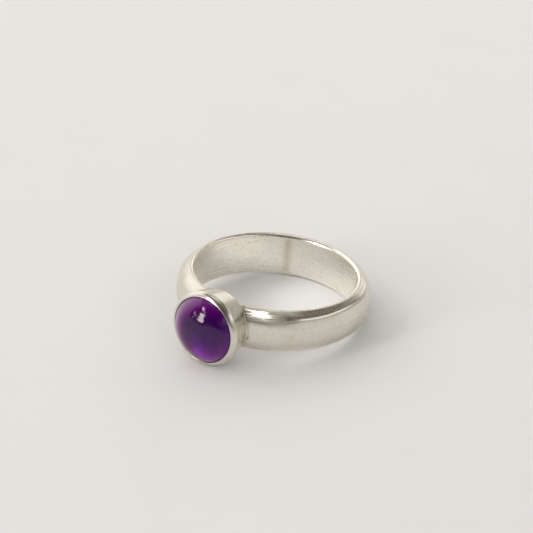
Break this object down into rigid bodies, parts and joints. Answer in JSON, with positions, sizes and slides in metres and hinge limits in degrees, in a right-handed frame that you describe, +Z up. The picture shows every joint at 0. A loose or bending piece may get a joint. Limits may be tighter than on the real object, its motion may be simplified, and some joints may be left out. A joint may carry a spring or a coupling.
{
  "type": "amethyst ring",
  "caption": "Silver finger ring: a low-domed shank soldered to a round tapered bezel cup, whose pressed-over lip holds a domed purple stone.",
  "frame": {"origin": "middle of the ring's footprint, at the height of the surface that it lies on", "axes": "+Z up, -Y the way the stone faces, +X to the right when the stone is looked at from in front; the finger hole's axis leans 4.7 degrees from +Z towards +Y"},
  "size_m": [0.0207, 0.0244, 0.0082],
  "materials": {
    "silver": "sterling silver, satin with fine scratches, lip and edges brighter",
    "amethyst": "clear deep purple quartz, polished dome"
  },
  "bodies": {
    "root": {"band_and_bezel": "silver", "stone": "amethyst"}
  },
  "joints": []
}
